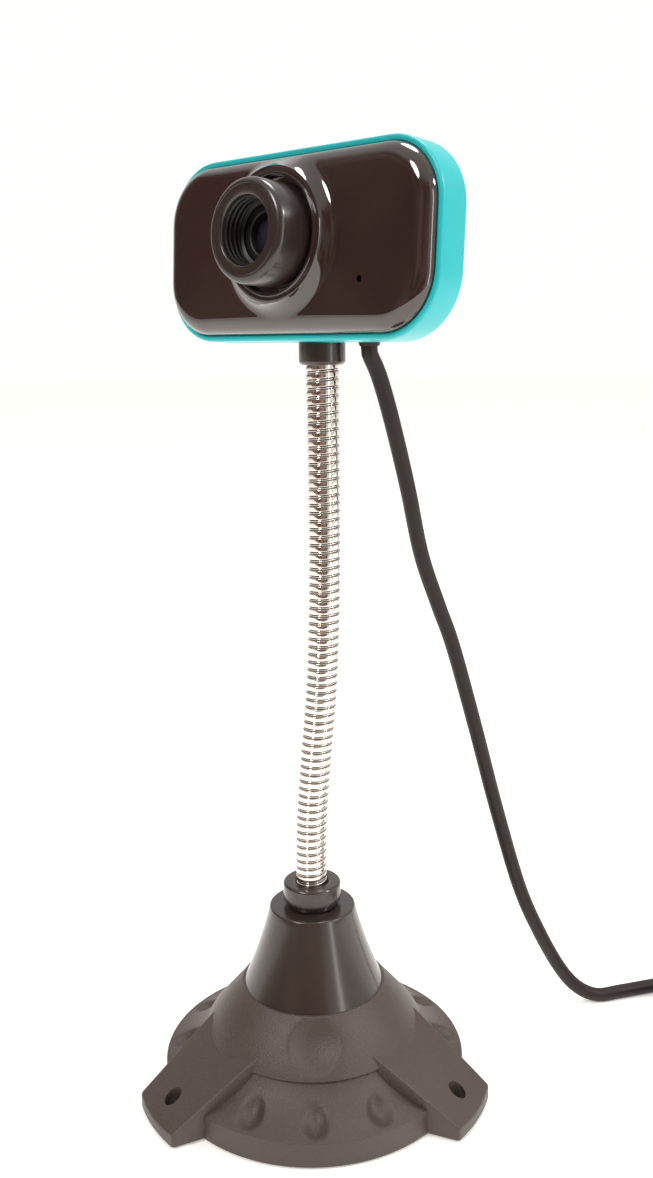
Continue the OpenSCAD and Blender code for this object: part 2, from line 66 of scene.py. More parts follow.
def make_camera():
    """The main view: from the right of the lens and a little above the desk, looking down slightly."""
    turn = Matrix.Rotation(VIEW_TURN, 3, "Z")
    forward = turn @ Vector((math.sin(CAMERA_YAW) * math.cos(CAMERA_DOWN),
                             math.cos(CAMERA_YAW) * math.cos(CAMERA_DOWN), -math.sin(CAMERA_DOWN)))
    level = turn @ Vector((math.cos(CAMERA_YAW), -math.sin(CAMERA_YAW), 0))
    upright = level.cross(forward)
    right = math.cos(CAMERA_ROLL) * level + math.sin(CAMERA_ROLL) * upright
    up = right.cross(forward)
    cam = bpy.data.objects.new("camera", bpy.data.cameras.new("camera"))
    bpy.context.scene.collection.objects.link(cam)
    cam.data.lens = CAMERA_LENS
    cam.data.sensor_width = 36
    cam.data.clip_start, cam.data.clip_end = 0.01, 50
    cam.matrix_world = Matrix.Translation(turn @ Vector((0, -CAMERA_AWAY, CAMERA_UP))) @ \
        Matrix((right, up, -forward)).transposed().to_4x4()
    bpy.context.scene.camera = cam


make_camera()


# ---------------------------------------------------------------- mesh helpers
def piece(name, points, faces, sharp=35):
    """A mesh object of these points in metres, smooth apart from edges sharper than that many degrees."""
    mesh = bpy.data.meshes.new(name)
    mesh.from_pydata([tuple(p) for p in points], [], faces)
    obj = bpy.data.objects.new(name, mesh)
    bpy.context.scene.collection.objects.link(obj)
    tidy(obj, sharp)
    return obj


def tidy(obj, sharp=35):
    """Merges doubled points, turns faces outwards and sets the smooth shading."""
    b = bmesh.new()
    b.from_mesh(obj.data)
    bmesh.ops.remove_doubles(b, verts=b.verts, dist=1e-6)
    bmesh.ops.dissolve_degenerate(b, dist=1e-7, edges=b.edges)
    bmesh.ops.recalc_face_normals(b, faces=b.faces)
    for f in b.faces:
        f.smooth = True
    b.to_mesh(obj.data)
    b.free()
    obj.data.set_sharp_from_angle(angle=math.radians(sharp))


def skin(rings, loop=False, caps=False):
    """Faces over rings of equal length, each closed on itself. loop joins the last ring to the first."""
    n, count = len(rings[0]), len(rings)
    points = [p for ring in rings for p in ring]
    faces = []
    for i in range(count if loop else count - 1):
        a, b = i * n, (i + 1) % count * n
        faces += [(a + k, a + (k + 1) % n, b + (k + 1) % n, b + k) for k in range(n)]
    if caps:
        faces += [tuple(range(n))[::-1], tuple(range((count - 1) * n, count * n))]
    return points, faces


def fillet(points, radius, steps=5, closed=True):
    """An outline with its corners rounded. radius is one number, or one for each corner."""
    out, n = [], len(points)
    for i, p in enumerate(points):
        p = Vector(p)
        r = radius[i] if hasattr(radius, "__len__") else radius
        if r <= 0 or (not closed and i in (0, n - 1)):
            out.append(tuple(p))
            continue
        a, b = Vector(points[i - 1]) - p, Vector(points[(i + 1) % n]) - p
        cut = min(r, a.length * 0.45, b.length * 0.45)
        start, end = p + a.normalized() * cut, p + b.normalized() * cut
        for k in range(steps + 1):
            t = k / steps
            out.append(tuple(start * (1 - t) ** 2 + p * (2 * t * (1 - t)) + end * t ** 2))
    return out


def arc_between(a, b, sag, n):
    """Points from a to b on a shallow curve, sag to the right of the straight line."""
    a, b = Vector(a), Vector(b)
    d = b - a
    side = Vector((d[1], -d[0])).normalized()
    return [tuple(a + d * (i / n) + side * (sag * 4 * (i / n) * (1 - i / n))) for i in range(n + 1)]


def lathe(name, profile, where=Matrix(), segments=128, sharp=35, change=None):
    """A closed outline of (radius, height) in mm turned about the Z axis of where. change moves single points."""
    rings = []
    for r, z in profile:
        ring = []
        for k in range(segments):
            a = 2 * math.pi * k / segments
            p = Vector((r * math.cos(a), r * math.sin(a), z))
            ring.append(where @ ((change(p, r, a) if change else p) * MM))
        rings.append(ring)
    return piece(name, *skin(rings, loop=True), sharp=sharp)


def cut(obj, other, how="DIFFERENCE"):
    """Joins a second mesh to obj, or cuts it away, and removes it."""
    for o in (obj, other):  # the solver works better in mm
        o.data.transform(Matrix.Scale(1 / MM, 4))
    m = obj.modifiers.new("cut", "BOOLEAN")
    m.operation, m.object, m.solver = how, other, "EXACT"
    dg = bpy.context.evaluated_depsgraph_get()
    mesh = bpy.data.meshes.new_from_object(obj.evaluated_get(dg))
    obj.modifiers.clear()
    mesh.transform(Matrix.Scale(MM, 4))
    old, obj.data = obj.data, mesh
    mesh.name = obj.name
    bpy.data.meshes.remove(old)
    bpy.data.objects.remove(other)
    return obj


def drill(obj, at, along, radius, depth, sides=48):
    """Drills a round hole from the point at, both in metres and in the row frame."""
    axis = Vector(along).normalized()
    where = Matrix.Translation(at) @ axis.to_track_quat("Z", "Y").to_matrix().to_4x4()
    rings = [[where @ Vector((radius * math.cos(2 * math.pi * k / sides),
                              radius * math.sin(2 * math.pi * k / sides), z)) for k in range(sides)]
             for z in (0, depth)]
    return cut(obj, piece("drill", *skin(rings, caps=True)))


def spline(points, step):
    """Points about step apart on a smooth curve through all of these, in the same units."""
    p = [Vector(q) for q in points]
    out = []
    for i in range(len(p) - 1):
        a, b, c, d = p[max(i - 1, 0)], p[i], p[i + 1], p[min(i + 2, len(p) - 1)]
        n = max(2, round((c - b).length / step))
        for k in range(n):
            t = k / n
            out.append(0.5 * (2 * b + (c - a) * t + (2 * a - 5 * b + 4 * c - d) * t * t
                              + (3 * b - a - 3 * c + d) * t ** 3))
    return out + [p[-1]]


def tube_rings(path, radius, sides=16):
    """Rings round a path, turned as little as possible from one to the next."""
    rings, side = [], None
    for i, p in enumerate(path):
        along = (path[min(i + 1, len(path) - 1)] - path[max(i - 1, 0)]).normalized()
        side = along.orthogonal().normalized() if side is None else (side - along * side.dot(along)).normalized()
        up = along.cross(side)
        rings.append([p + radius * (math.cos(2 * math.pi * k / sides) * side
                                    + math.sin(2 * math.pi * k / sides) * up) for k in range(sides)])
    return rings


# ---------------------------------------------------------------- materials
GRAIN_DEPTH = 0.16 * MM


def material(name, color, roughness, metallic=0.0, coat=0.0, coat_roughness=0.03, vary=0.15, mottle=0.12,
             scale=60, grain=0.0, grain_scale=2500, transmission=0.0, ior=1.5, streak=1.0):
    """A procedural finish: colour and roughness drift a little, and fine grain stands in the bump."""
    mat = bpy.data.materials.new(name)
    mat.use_nodes = True
    nodes, links = mat.node_tree.nodes, mat.node_tree.links
    shader = nodes["Principled BSDF"]
    shader.inputs["Metallic"].default_value = metallic
    shader.inputs["Coat Weight"].default_value = coat
    shader.inputs["Coat Roughness"].default_value = coat_roughness
    shader.inputs["IOR"].default_value = ior
    shader.inputs["Transmission Weight"].default_value = transmission
    where = nodes.new("ShaderNodeTexCoord")
    spread = nodes.new("ShaderNodeMapping")
    spread.inputs["Scale"].default_value = (1, 1, streak)
    links.new(where.outputs["Object"], spread.inputs["Vector"])
    drift = nodes.new("ShaderNodeTexNoise")
    drift.inputs["Scale"].default_value = scale
    drift.inputs["Detail"].default_value = 4
    links.new(spread.outputs["Vector"], drift.inputs["Vector"])
    tint = nodes.new("ShaderNodeMix")
    tint.data_type = "RGBA"
    tint.inputs[6].default_value = (*[c * (1 - mottle) for c in color], 1)
    tint.inputs[7].default_value = (*[min(1, c * (1 + mottle)) for c in color], 1)
    links.new(drift.outputs["Fac"], tint.inputs[0])
    links.new(tint.outputs[2], shader.inputs["Base Color"])
    rough = nodes.new("ShaderNodeMapRange")
    rough.inputs["To Min"].default_value = max(0.02, roughness * (1 - vary))
    rough.inputs["To Max"].default_value = min(1, roughness * (1 + vary))
    links.new(drift.outputs["Fac"], rough.inputs["Value"])
    links.new(rough.outputs["Result"], shader.inputs["Roughness"])
    if grain:
        fine = nodes.new("ShaderNodeTexNoise")
        fine.inputs["Scale"].default_value = grain_scale
        fine.inputs["Detail"].default_value = 3
        links.new(spread.outputs["Vector"], fine.inputs["Vector"])
        bump = nodes.new("ShaderNodeBump")
        bump.inputs["Strength"].default_value = grain
        bump.inputs["Distance"].default_value = GRAIN_DEPTH
        links.new(fine.outputs["Fac"], bump.inputs["Height"])
        links.new(bump.outputs["Normal"], shader.inputs["Normal"])
    return mat


LOOKS = {
    "foot_plastic": material("foot_plastic", (0.056, 0.038, 0.032), 0.42, grain=1.0, grain_scale=2400, mottle=0.16),
    "cone_plastic": material("cone_plastic", (0.032, 0.021, 0.018), 0.24, coat=0.25, coat_roughness=0.12,
                             grain=0.08, grain_scale=900),
    "piano_black": material("piano_black", (0.026, 0.014, 0.012), 0.08, coat=1.0, vary=0.3, grain=0.03,
                            grain_scale=120),
    "frame_colour": material("frame_colour", (0.012, 0.47, 0.5), 0.36, coat=0.15, coat_roughness=0.2,
                             mottle=0.04, grain=0.08, grain_scale=1800),
    "neck_metal": material("neck_metal", (0.8, 0.74, 0.68), 0.1, metallic=1, mottle=0.06, vary=0.35, scale=300),
    # painted shade: a dark finish for the neck's grooves, standing in for the shade in them
    "neck_groove_painted_shade": material("neck_groove_painted_shade", (0.05, 0.038, 0.032), 0.6, metallic=0.3, grain=0.2),
    "steel": material("steel", (0.62, 0.62, 0.63), 0.3, metallic=1, grain=0.15, grain_scale=3000),
    "ballast": material("ballast", (0.2, 0.2, 0.21), 0.5, metallic=1, grain=0.3),
    "pad": material("pad", (0.03, 0.03, 0.03), 0.9, grain=0.8, grain_scale=1500),
    "board": material("board", (0.02, 0.16, 0.07), 0.35, coat=0.4, grain=0.1, grain_scale=700),
    "chip": material("chip", (0.05, 0.05, 0.055), 0.5, grain=0.2),
    "lens_black": material("lens_black", (0.008, 0.006, 0.006), 0.5, grain=0.1),
    "ring_black": material("ring_black", (0.028, 0.019, 0.017), 0.26, coat=0.3, coat_roughness=0.1, grain=0.05),
    "lens_glass": material("lens_glass", (0.03, 0.028, 0.045), 0.03, coat=1.0, ior=1.6, mottle=0.3),
    "filter_glass": material("filter_glass", (0.5, 0.2, 0.25), 0.05, transmission=0.7),
    "mic_metal": material("mic_metal", (0.7, 0.7, 0.7), 0.3, metallic=1, grain=0.1),
    "seal_rubber": material("seal_rubber", (0.02, 0.02, 0.02), 0.8, grain=0.3),
    "cord_rubber": material("cord_rubber", (0.018, 0.011, 0.01), 0.5, ior=1.36, grain=0.25, grain_scale=1400),
    "plug_plastic": material("plug_plastic", (0.03, 0.023, 0.021), 0.45, grain=0.5, grain_scale=2200),
    "plug_metal": material("plug_metal", (0.75, 0.74, 0.72), 0.22, metallic=1, grain=0.06, streak=6),
    "plug_tongue": material("plug_tongue", (0.85, 0.85, 0.82), 0.4, mottle=0.03, grain=0.1),
    "tie": material("tie", (0.03, 0.03, 0.03), 0.55, grain=0.3),
}


def wear(obj, slot, body=None):
    """Gives a piece its finish, and its body if it rides on one."""
    obj.data.materials.clear()
    obj.data.materials.append(LOOKS[slot])
    if body:
        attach(obj, body)
    return obj


def place(obj, slot, body, *nodes):
    """A finished piece that rides on a body and stands for these CAD nodes."""
    wear(obj, slot, body)
    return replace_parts(obj, *nodes)


for part in frame["record"]["subparts"]:
    node = frame["nodes"][part["node"]]
    node.data.materials.clear()
    node.data.materials.append(LOOKS[part["material_slot"]])
    for face in node.data.polygons:
        face.use_smooth = True
    node.data.set_sharp_from_angle(angle=math.radians(30))

# ---------------------------------------------------------------- cord
CORD_R = 2.1 * MM
# The cord's way from the head to the desk and away, in mm.
ROUTE = [(15, 8, 205.4), (15, 8.1, 202.6), (15.2, 9.9, 199.6), (15.6, 12, 195), (16, 15.8, 185), (16.2, 21.8, 168),
         (16.2, 27.9, 149), (17.5, 34, 134), (19, 39, 121.5), (21.5, 46.5, 97), (24, 54.5, 70), (27.5, 62.5, 43),
         (31, 68.5, 27), (35, 75, 13), (39, 79.5, 5.6), (43.5, 84.5, 2.15), (48, 91, 2.15), (54, 100.7, 2.15),
         (59.4, 109.2, 2.15)]
COIL_AT = Vector((88.3, 98.6, 0))
COIL_R = (26.2, 22, 17.8)  # middle of the outer, middle and inner turns
COIL_BEGIN = 148  # degrees round the coil where the cord comes in
JOG = 50  # degrees of turn in which the cord steps over to the next ring
LOW, HIGH = 2.15, 6.25  # middle of the two layers above the desk
TAIL_R = 30.1
TAIL_Z = 4.0
TAIL_L = 18
LEAVE = 60  # degrees in which the last turn comes down outside the coil
LEAVE_SWEEP = math.radians(62)  # the part of a quarter circle it comes down along
SLICES = 7
SLICE_L = 31.5 * MM


def ease(t):
    """A step from 0 to 1 that starts and ends gently."""
    t = min(1, max(0, t))
    return t * t * (3 - 2 * t)


def coil_points():
    """The stored turns: inwards on the desk, up, and outwards on top, clockwise from above."""
    out, total = [], 6 * 360 + COIL_BEGIN
    step = 6
    for i in range(1, int(total / step)):
        a = i * step
        lap, part = divmod(a, 360)
        lap = int(lap)
        jog = ease(part / JOG)
        radii = [TAIL_R, *COIL_R]
        if lap < 3:
            r = radii[lap] + (radii[lap + 1] - radii[lap]) * jog
            z = LOW + (HIGH - LOW) * (ease((part - 360 + JOG) / JOG) if lap == 2 else 0)
        else:
            top = [COIL_R[2], COIL_R[2], COIL_R[1], COIL_R[0]]
            r = top[lap - 3] + (top[min(lap - 2, 3)] - top[lap - 3]) * jog
            z = HIGH
        left = total - a
        if left < LEAVE:
            over = LEAVE_SWEEP * (1 - left / LEAVE)
            level = math.cos(LEAVE_SWEEP)
            r = COIL_R[0] + (TAIL_R - COIL_R[0]) * math.sin(over) / math.sin(LEAVE_SWEEP)
            z = TAIL_Z + (HIGH - TAIL_Z) * (math.cos(over) - level) / (1 - level)
        angle = math.radians(COIL_BEGIN - a)
        out.append(COIL_AT + Vector((r * math.cos(angle), r * math.sin(angle), z)))
    return out


def cord_path():
    """The whole cord's middle line in metres, from the head to the plug."""
    begin = math.radians(COIL_BEGIN)
    entry = COIL_AT + Vector((TAIL_R * math.cos(begin), TAIL_R * math.sin(begin), LOW))
    tail = COIL_AT + Vector((TAIL_R, 0, TAIL_Z))
    points = [Vector(p) for p in ROUTE] + [entry] + coil_points() + \
        [tail - Vector((0, (TAIL_L + 1) * k / 3, 0)) for k in range(4)]
    return [p * MM for p in spline(points, 1.8)]


def make_cord():
    """The cord: the hanging part in slices, and the rest, which lies on the desk, on the root body."""
    path = cord_path()
    rings = tube_rings(path, CORD_R)
    along = [0.0]
    for a, b in zip(path, path[1:]):
        along.append(along[-1] + (b - a).length)
    cuts = [0]
    for k in range(SLICES):
        cuts.append(next(i for i, s in enumerate(along) if s >= (k + 1) * SLICE_L))
    cuts.append(len(path) - 1)
    made = []
    for k, (first, last) in enumerate(zip(cuts, cuts[1:])):
        run = path[first:last + 1]
        on_desk = k == SLICES
        obj = piece("cord_on_desk" if on_desk else f"cord_slice_{k + 1}",
                    *skin(rings[first:last + 1], caps=True), sharp=60)
        wear(obj, "cord_rubber", "root" if on_desk else None)
        if not on_desk:
            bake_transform(obj)
        made.append((obj, run, along[last] - along[first]))
    return made


cord = make_cord()

# ---------------------------------------------------------------- foot
FOOT_TURN = math.radians(43.5)
FOOT = Matrix.Rotation(FOOT_TURN, 4, "Z")
FOOT_R, RIM_H = 42.2, 7.5
SEAM_R, SEAM_Z = 30.3, 16.7
CONE_R, CONE_Z = 19.5, 29.3
TOP_R, TOP_Z = 11.8, 52.1
EAR_START, EAR_REACH, EAR_TIP_Z = 24, 50.4, 3.8
EAR_HALF, EAR_ROOT_HALF = 10.5, 13.4
EAR_HOLE_AT, EAR_HOLE_R = 44.2, 2.3
PAD_T = 0.5
DENT_HALF, DENT_REACH, DENT_DEPTH = 3.3, 5.2, 1.7
DENT_AT, DENT_SPOTS = 36.6, (-27, 0, 27)  # radius, and degrees round from each sector's middle
DENT_MIDDLE = 36.8  # radius that the dents are measured down the slope from
THUMB_R, THUMB_AT, THUMB_Z = 15, 35, 32  # the ball that scoops a thumb dimple
THUMB_SPAN = 11  # nothing further than this from a scoop's axis moves
FRONT = -math.pi / 2  # the foot's own front, before it is turned
THIRD = 2 * math.pi / 3


def dip(depth, width=0.25):
    """How far to press in for that signed depth below a scoop's face, with a soft edge."""
    return 0.5 * (depth + math.sqrt(depth * depth + width * width))


def dented(p, r, a):
    """The foot ring's nine oval finger dents."""
    if p.z < 5 or r < SEAM_R - 1 or r > FOOT_R - 0.3:
        return p
    slope = math.atan2(SEAM_Z - RIM_H, FOOT_R - SEAM_R)
    inward = Vector((-math.sin(slope) * math.cos(a), -math.sin(slope) * math.sin(a), -math.cos(slope)))
    press = 0
    for sector in range(3):
        for spot in DENT_SPOTS:
            at = FRONT + sector * THIRD + math.radians(spot)
            across = DENT_AT * ((a - at + math.pi) % (2 * math.pi) - math.pi)
            down = (r - DENT_MIDDLE) / math.cos(slope)
            far = (across / DENT_HALF) ** 2 + (down / DENT_REACH) ** 2
            if far < 2:
                press = max(press, dip(DENT_DEPTH * (1 - far), 0.3) - dip(-DENT_DEPTH, 0.3))
    return p + inward * press


def ear_plane(x):
    """Height of the ears' sloping top, that far from the middle."""
    return SEAM_Z - (SEAM_Z - EAR_TIP_Z) * (x - SEAM_R) / (EAR_REACH - SEAM_R)


def ear(angle):
    """One screw ear: a flat top that slopes down to a rounded tip."""
    def outline(inset):
        tip = EAR_REACH - inset
        half = EAR_HALF - inset
        end = math.asin(half / tip)
        root = EAR_ROOT_HALF - inset
        points = [(EAR_START, -root), (tip * math.cos(end), -half)]
        points += [(tip * math.cos(t), tip * math.sin(t)) for t in np.linspace(-end, end, 16)[1:-1]]
        points += [(tip * math.cos(end), half), (EAR_START, root)]
        return fillet(points, [0, 1.2] + [0] * 14 + [1.2, 0], 4)
    turned = Matrix.Rotation(FOOT_TURN + angle + FRONT, 4, "Z")
    rings = []
    for inset, drop in ((0.4, None), (0, 0.4), (0, -0.55), (0.1, -0.2), (0.28, -0.05), (0.6, 0)):
        ring = []
        for x, y in outline(inset):
            z = PAD_T if drop is None else PAD_T + drop if drop > 0 else ear_plane(x) + drop
            ring.append(turned @ (Vector((x, y, z)) * MM))
        rings.append(ring)
    return piece("ear", *skin(rings, caps=True))


def make_foot():
    """The foot's four outer pieces: ring with ears, middle cone, gloss cone and collar."""
    top = arc_between((SEAM_R - 1.6, SEAM_Z), (FOOT_R, RIM_H), 1.5, 40)
    rim = fillet([top[-2], (FOOT_R, RIM_H), (FOOT_R + 0.001, PAD_T), (38.5, PAD_T)], [0, 0.55, 0.5, 0], 5,
                 closed=False)
    profile = top[:-2] + rim + [(38.5, 6.2), (35, 8.3), (31.5, 11.2), (SEAM_R - 1.6, 14)]
    ring = lathe("foot_ring_body", profile, FOOT, 360, change=dented)
    for k in range(3):
        cut(ring, ear(math.radians(60) + k * THIRD), "UNION")
    for k in range(3):
        a = FOOT_TURN + FRONT + math.radians(60) + k * THIRD
        at = Vector((EAR_HOLE_AT * math.cos(a), EAR_HOLE_AT * math.sin(a), -1)) * MM
        drill(ring, at, (0, 0, 1), EAR_HOLE_R * MM, 20 * MM)
    tidy(ring, 32)
    place(ring, "foot_plastic", "root", "foot_ring")

    lean = math.atan2(CONE_Z - SEAM_Z, SEAM_R - CONE_R)

    def thumbed(p, r, a):
        """Three round thumb dimples, each a scoop of a ball."""
        if r < CONE_R + 1 or not SEAM_Z + 0.3 < p.z < CONE_Z - 0.3 or p.z < SEAM_Z + (SEAM_R - r) * 0.9:
            return p
        for k in range(3):
            t = FRONT + k * THIRD
            ball = Vector((THUMB_AT * math.cos(t), THUMB_AT * math.sin(t), THUMB_Z))
            inward = -Vector((math.sin(lean) * math.cos(t), math.sin(lean) * math.sin(t), math.cos(lean)))
            side = p - ball
            flat = side - inward * side.dot(inward)
            if flat.length < THUMB_SPAN:
                face = math.sqrt(THUMB_R ** 2 - flat.length ** 2)
                return p + inward * (dip(face - side.dot(inward), 0.5) - dip(-3, 0.5))
        return p

    outer = arc_between((SEAM_R, SEAM_Z), (CONE_R + 0.6, CONE_Z), 0.7, 44)
    profile = outer[:-1] + fillet([outer[-1], (CONE_R - 2.6, CONE_Z), (CONE_R - 2.6, CONE_Z - 2.4)],
                                  [0.3, 0.3, 0], 3, closed=False) + [(SEAM_R - 3.1, SEAM_Z)]
    cone = lathe("middle_cone_body", profile, FOOT, 384, change=thumbed)
    place(cone, "foot_plastic", "root", "middle_cone")

    side = arc_between((TOP_R, TOP_Z), (CONE_R, CONE_Z), 0.5, 24)
    lip = fillet([(6.2, TOP_Z - 1.2), (6.2, TOP_Z), (TOP_R, TOP_Z), side[2]], [0, 0.3, 0.45, 0], 4, closed=False)
    profile = lip + side[3:] + [(CONE_R - 2.2, CONE_Z), (TOP_R - 1.6, TOP_Z - 2.4), (6.2, TOP_Z - 2.4)]
    place(lathe("gloss_cone_body", profile, segments=192), "cone_plastic", "root", "gloss_cone")

    profile = fillet([(4.3, 44.3), (5.8, 44.3), (5.8, 52.4), (6.9, 52.4), (6.9, 53.9), (8, 53.9), (8, 58.6),
                      (7.5, 59.1), (4.9, 59.1), (4.3, 58.4)], [0, 0.2, 0.1, 0.1, 0.1, 0.35, 0.4, 0.4, 0.4, 0.3], 4)
    place(lathe("base_collar_body", profile, segments=128), "cone_plastic", "root", "base_collar")


make_foot()

# ---------------------------------------------------------------- neck
NECK_LINE = [(0, 0, 40), (0, 0, 71), (1, 1, 92.5), (2.4, 2.3, 114), (3.1, 3, 135.5), (3.4, 3.2, 157),
             (3.4, 3.2, 178.5), (3.4, 3.2, 200.4)]
NECK_LINKS = 6  # the stretches that bend; one more rides on the last body
NECK_LOW, NECK_HIGH = 52.0, 203.4  # the winding runs on inside both collars
TOP_PART = 189.1  # height at which the stiff top stretch begins
WIND = 2.1  # mm between turns of the wire
# One turn's outline across the windings: the round wire, and the thin wire between its turns.
WIRE = [(0, 4.0), (0.03, 4.19), (0.06, 4.24), (0.1, 4.25), (0.56, 4.25), (0.6, 4.24), (0.63, 4.19),
        (0.66, 4.0), (0.71, 3.8), (0.765, 3.95), (0.83, 4.0), (0.89, 3.95), (0.945, 3.8)]
GAP_STRIPS = (7, 8, 11, 12)  # the strips of that outline that lie in the two grooves, which get the painted shade


def paint_groove_shade(obj):
    """Paints the narrow grooves beside the thin wire dark: painted shade for the deep shade they lie in."""
    obj.data.materials.append(LOOKS["neck_groove_painted_shade"])
    for face in obj.data.polygons:
        if face.index % len(WIRE) in GAP_STRIPS:
            face.material_index = 1


def make_neck():
    """One long winding, parted between the links into one stretch for each link; the top stretch rides on the last
    body.
    """
    line = spline(NECK_LINE, 0.5)
    heights = [p.z for p in line]
    sides = 40

    def on_line(z):
        i = int(np.searchsorted(heights, z))
        i = min(max(i, 1), len(line) - 1)
        a, b = line[i - 1], line[i]
        t = (z - a.z) / (b.z - a.z)
        lo, hi = line[max(i - 3, 0)], line[min(i + 2, len(line) - 1)]
        return a.lerp(b, t), (hi - lo).normalized()

    turns = int((NECK_HIGH - NECK_LOW) / WIND)
    mids = [(NECK_LINE[k][2] + NECK_LINE[k + 1][2]) / 2 for k in range(1, NECK_LINKS)] + [TOP_PART]
    ends = [round((z - NECK_LOW) / WIND) for z in mids]
    starts = [0] + ends
    ends = ends + [turns]
    for k, (first, last) in enumerate(zip(starts, ends)):
        points, faces, row = [], [], len(WIRE) + 1
        for j in range((last - first) * sides + 1):
            lap = first + j / sides
            for phase, radius in WIRE + [(1, WIRE[0][1])]:
                z = NECK_LOW + (lap + phase - 1) * WIND
                centre, along = on_line(z)
                a = 2 * math.pi * lap
                x = Vector((0, 1, 0)).cross(along).normalized()
                y = along.cross(x)
                points.append((centre + radius * (math.cos(a) * x + math.sin(a) * y)) * MM)
            if j:
                o = j * row
                faces += [(o - row + i, o + i, o + i + 1, o - row + i + 1) for i in range(row - 1)]
        obj = piece(f"neck_winding_{k}", points, faces, sharp=50)
        if k < NECK_LINKS:
            wear(obj, "neck_metal")
            paint_groove_shade(obj)
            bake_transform(obj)
        else:
            wear(obj, "neck_metal", "neck_6")
            paint_groove_shade(obj)
        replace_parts(obj, f"neck_link_{k}")


make_neck()

# ---------------------------------------------------------------- head
HEAD_AT = Vector((3.4, 3.2, 227.7))
HEAD_TILT = math.radians(3.7)
HEAD_W, HEAD_H, HEAD_CORNER = 89.4, 44.9, 15.6
RIM = 1.5
FRAME_FRONT, FRAME_BACK = -9.5, -1.1
DOME_H, CROWN_H, SHOULDER = 4.3, 0.9, 4.6
BACK_H, BACK_CROWN = 14.2, 1.4
LENS_AT = (-1.6, 2.0)
RING_R, RING_FRONT, MOUTH_R = 12.2, 25.0, 7.9
RIDGE = 0.3  # how far the rings inside the mouth stand in
BOSS_IN, BOSS_LIP, BOSS_FRONT = 13.7, 15.8, 16.3
WEB_FRONT, WEB_BACK = 13.2, 11.6
SKIRT_POWER = 2.6  # how quickly the skirt round the boss runs out into the face
LIP_ROUND = 0.06  # share of the skirt in which the boss's outer edge rounds over
MIC_AT = (24.5, -9)
SCREWS_AT = [(x, z) for x in (-35.5, 35.5) for z in (-13, 13)]
HEAD = Matrix.Translation(HEAD_AT * MM) @ Matrix.Rotation(-HEAD_TILT, 4, "X")
# Lens parts are turned about +Z, which lies along the lens axis from the board's face.
LENS = HEAD @ Matrix.Translation(Vector((LENS_AT[0], 0, LENS_AT[1])) * MM) @ Matrix.Rotation(math.pi / 2, 4, "X")
FACE_W, FACE_H, FACE_CORNER = HEAD_W - 2 * RIM, HEAD_H - 2 * RIM, HEAD_CORNER - RIM


def rounded_outline(w, h, r, corner=14, side=10):
    """Points round a rounded rectangle in (x, z), which match from one inset to the next."""
    out = []
    for cx, cz, a in ((1, 1, 0), (-1, 1, 90), (-1, -1, 180), (1, -1, 270)):
        for k in range(corner + 1):
            t = math.radians(a + 90 * k / corner)
            out.append((cx * (w / 2 - r) + r * math.cos(t), cz * (h / 2 - r) + r * math.sin(t)))
    full = []
    for i, p in enumerate(out):
        q = out[(i + 1) % len(out)]
        full.append(p)
        if i % (corner + 1) == corner:
            full += [(p[0] + (q[0] - p[0]) * k / side, p[1] + (q[1] - p[1]) * k / side) for k in range(1, side)]
    return full


def inside(x, z, w, h, r):
    """How far a point lies inside a rounded rectangle's outline."""
    dx, dz = abs(x) - (w / 2 - r), abs(z) - (h / 2 - r)
    return r - math.hypot(max(dx, 0), max(dz, 0)) - min(max(dx, dz), 0)


def edge_reach(angle, x0, z0, w, h, r):
    """Distance from a point to the outline, along an angle."""
    lo, hi = 0.0, w + h
    for _ in range(40):
        mid = (lo + hi) / 2
        if inside(x0 + mid * math.cos(angle), z0 + mid * math.sin(angle), w, h, r) > 0:
            lo = mid
        else:
            hi = mid
    return lo


def swell(d, full, round_over):
    """Height of a cushion-like face, that distance in from its edge: a round shoulder that runs out flat."""
    t = min(1, max(0, d / round_over))
    return full * math.sqrt(1 - (1 - t) ** 2.4)


def face_height(x, z):
    """How far the fascia stands in front of the frame's front edge."""
    d = inside(x, z, FACE_W, FACE_H, FACE_CORNER)
    crown = (1 - (x / (FACE_W / 2)) ** 2) * (1 - (z / (FACE_H / 2)) ** 2)
    return swell(d, DOME_H - CROWN_H, SHOULDER) + CROWN_H * max(0, crown) ** 0.8


